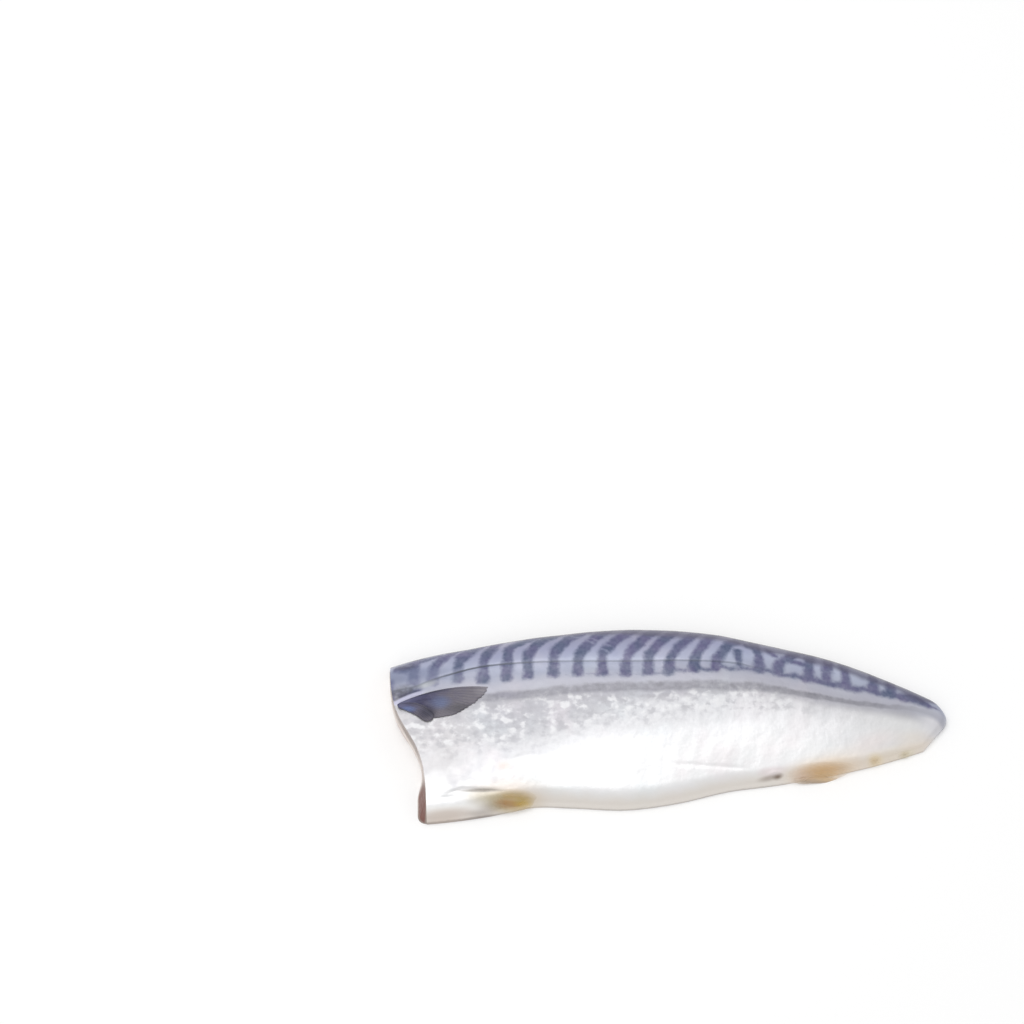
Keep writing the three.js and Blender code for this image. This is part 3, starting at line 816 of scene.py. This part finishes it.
# ---------- the anal fin and the finlets ----------
# The low fin behind the vent, laid back against the belly edge, tan and half clear, and behind it two of the
# finlets that run on to the tail, each a small pale flap of one branched ray.
ANAL = dict(
    root=[(43.0, -20.4), (43.5, -21.9)], rays=12, bow=(1.0, -0.5), thickness=(0.4, 0.15), gap=0.08,
    ragged=0.01,
    margin=[
        (52.5, -16.4), (58.0, -15.8), (63.5, -15.7), (69.0, -16.1), (72.4, -16.9), (68.0, -18.3),
        (63.5, -20.1), (58.5, -21.8), (51.5, -22.5),
    ],
)
FINLET = dict(rays=3, bow=(0.4, 0.0), thickness=(0.3, 0.12), gap=0.06, ragged=0.04)
FINLETS = [
    dict(
        root=[(72.4, -14.9), (73.0, -16.4)],
        margin=[(75.6, -13.2), (78.8, -13.5), (78.6, -15.0), (76.4, -16.2)],
    ),
    dict(
        root=[(83.7, -11.8), (84.3, -13.4)],
        margin=[(86.9, -10.8), (90.4, -10.5), (90.2, -11.8), (87.8, -13.1)],
    ),
]

anal = piece("anal_fin_blade", fan_sheets(ANAL, 33), ("ray", "reach", "fan"))
anal_stains = [
    (tone(228, 189, 126), 0.9, (57.5, -18.8), (12, 3.6)),
    (tone(216, 174, 150), 0.6, (47.5, -20.0), (4.5, 2.4)),
    (tone(158, 138, 114), 0.9, (54.0, -22.6), (13, 1.6)),
]
anal.data.materials.append(fin_paint(
    "anal_fin", tone(216, 186, 160), tone(218, 194, 162), tone(214, 190, 160), tone(210, 180, 152),
    anal_stains,
    [(0.34, (57.0, -19.2), (15.0, 4.6), 0.12, 0.0), (0.35, (55.0, -22.0), (12.5, 2.2), 0.07, 0.3)],
))
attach(anal, "root")
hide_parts("anal_fin")

finlet_sheets = [
    sheet for seed, finlet in enumerate(FINLETS, 40) for sheet in fan_sheets(FINLET | finlet, seed)
]
finlets = piece("finlets", finlet_sheets, ("ray", "reach", "fan"))
finlet_stains = [
    (tone(214, 184, 122), 0.7, (76, -14.6), (3, 1.8)), (tone(200, 190, 150), 0.6, (87.2, -12.0), (3, 1.4)),
]
finlets.data.materials.append(fin_paint(
    "finlets", tone(222, 206, 178), tone(224, 208, 180), tone(212, 194, 166), tone(206, 188, 160),
    finlet_stains,
    [(0.16, (76.2, -14.8), (3.2, 2.0), 0.2, 0.0), (0.16, (87.6, -12.0), (3.2, 1.5), 0.2, 0.0)],
))
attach(finlets, "root")


# ---------- the table, light and camera ----------
# A plain near-white table under one large soft light and a white room, seen from in front at a steep angle.
FLOOR_HALF = 3000
FLOOR_DROP = 0.02  # keeps the table's face clear of the cut side
SOFTBOX = dict(place=(-250, 200, 1400), size=1100, watts=9.6)
ROOM_LIGHT = 0.66
LENS, SENSOR, PICTURE = 100.0, 36.0, 1024
LOOKS_DOWN = np.radians(63.7)
PICTURE_WIDTH = 377.9  # mm across the picture at the fillet
FILLET_MIDDLE = np.array([0, -1.85, 5.0])
MIDDLE_PIXEL = np.array([667, 727])  # where that point lies in the picture

corners = FLOOR_HALF * MM * np.array([(-1, -1, 0), (1, -1, 0), (1, 1, 0), (-1, 1, 0)])
floor_mesh = bpy.data.meshes.new("table")
floor_mesh.from_pydata(corners - (0, 0, FLOOR_DROP * MM), [], [(0, 1, 2, 3)])
floor = bpy.data.objects.new("table", floor_mesh)
bpy.context.scene.collection.objects.link(floor)
table_paint = Paint("table")
floor.data.materials.append(table_paint.finish(Base_Color=tone(252, 252, 252), Roughness=0.7))

softbox = bpy.data.objects.new("softbox", bpy.data.lights.new("softbox", "AREA"))
softbox.data.size = SOFTBOX["size"] * MM
softbox.data.energy = SOFTBOX["watts"]
softbox.location = Vector(SOFTBOX["place"]) * MM
softbox.rotation_euler = (-softbox.location).to_track_quat("-Z", "Y").to_euler()
bpy.context.scene.collection.objects.link(softbox)

room = bpy.data.worlds.new("room")
room.use_nodes = True
room.node_tree.nodes["Background"].inputs["Color"].default_value = (1, 1, 1, 1)
room.node_tree.nodes["Background"].inputs["Strength"].default_value = ROOM_LIGHT
bpy.context.scene.world = room
bpy.context.scene.view_settings.view_transform = "Standard"

backwards = np.array([0, -np.cos(LOOKS_DOWN), np.sin(LOOKS_DOWN)])
picture_up = np.array([0, np.sin(LOOKS_DOWN), np.cos(LOOKS_DOWN)])
right, down = (MIDDLE_PIXEL - PICTURE / 2) / PICTURE * PICTURE_WIDTH
eye = FILLET_MIDDLE + backwards * PICTURE_WIDTH * LENS / SENSOR - np.array([right, 0, 0]) + picture_up * down
camera = bpy.data.objects.new("camera", bpy.data.cameras.new("camera"))
camera.data.lens, camera.data.sensor_width = LENS, SENSOR
camera.location = eye * MM
camera.rotation_euler = (np.pi / 2 - LOOKS_DOWN, 0, 0)
bpy.context.scene.collection.objects.link(camera)
bpy.context.scene.camera = camera
